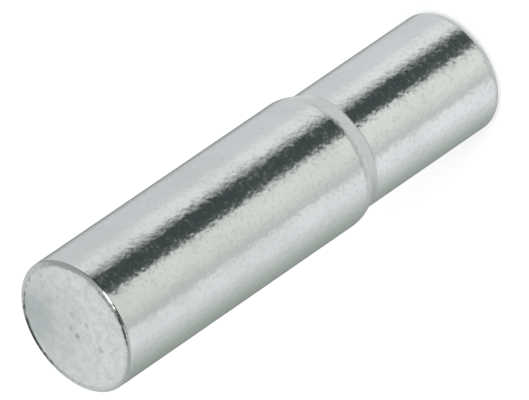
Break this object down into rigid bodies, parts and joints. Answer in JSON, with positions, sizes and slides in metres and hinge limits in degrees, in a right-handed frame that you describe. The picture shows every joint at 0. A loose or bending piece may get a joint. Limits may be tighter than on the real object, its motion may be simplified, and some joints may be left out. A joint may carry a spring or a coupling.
{
  "type": "shelf support pin",
  "caption": "Stepped round steel pin: a thin plug goes into a drilled cabinet side up to a short shoulder, and the thicker barrel stands out to carry a shelf.",
  "frame": {"origin": "centre of the plug's free end, which the pin stands on", "axes": "+Z along the pin's axis, from the plug's free end to the barrel's face; X and Y are free, because the pin is round"},
  "size_m": [0.0054, 0.0054, 0.0211],
  "materials": {
    "zinc_plated_steel": "bright zinc plating with a fine tumbled grain, duller on the end faces"
  },
  "bodies": {
    "root": {"support_pin": "zinc_plated_steel"}
  },
  "joints": []
}
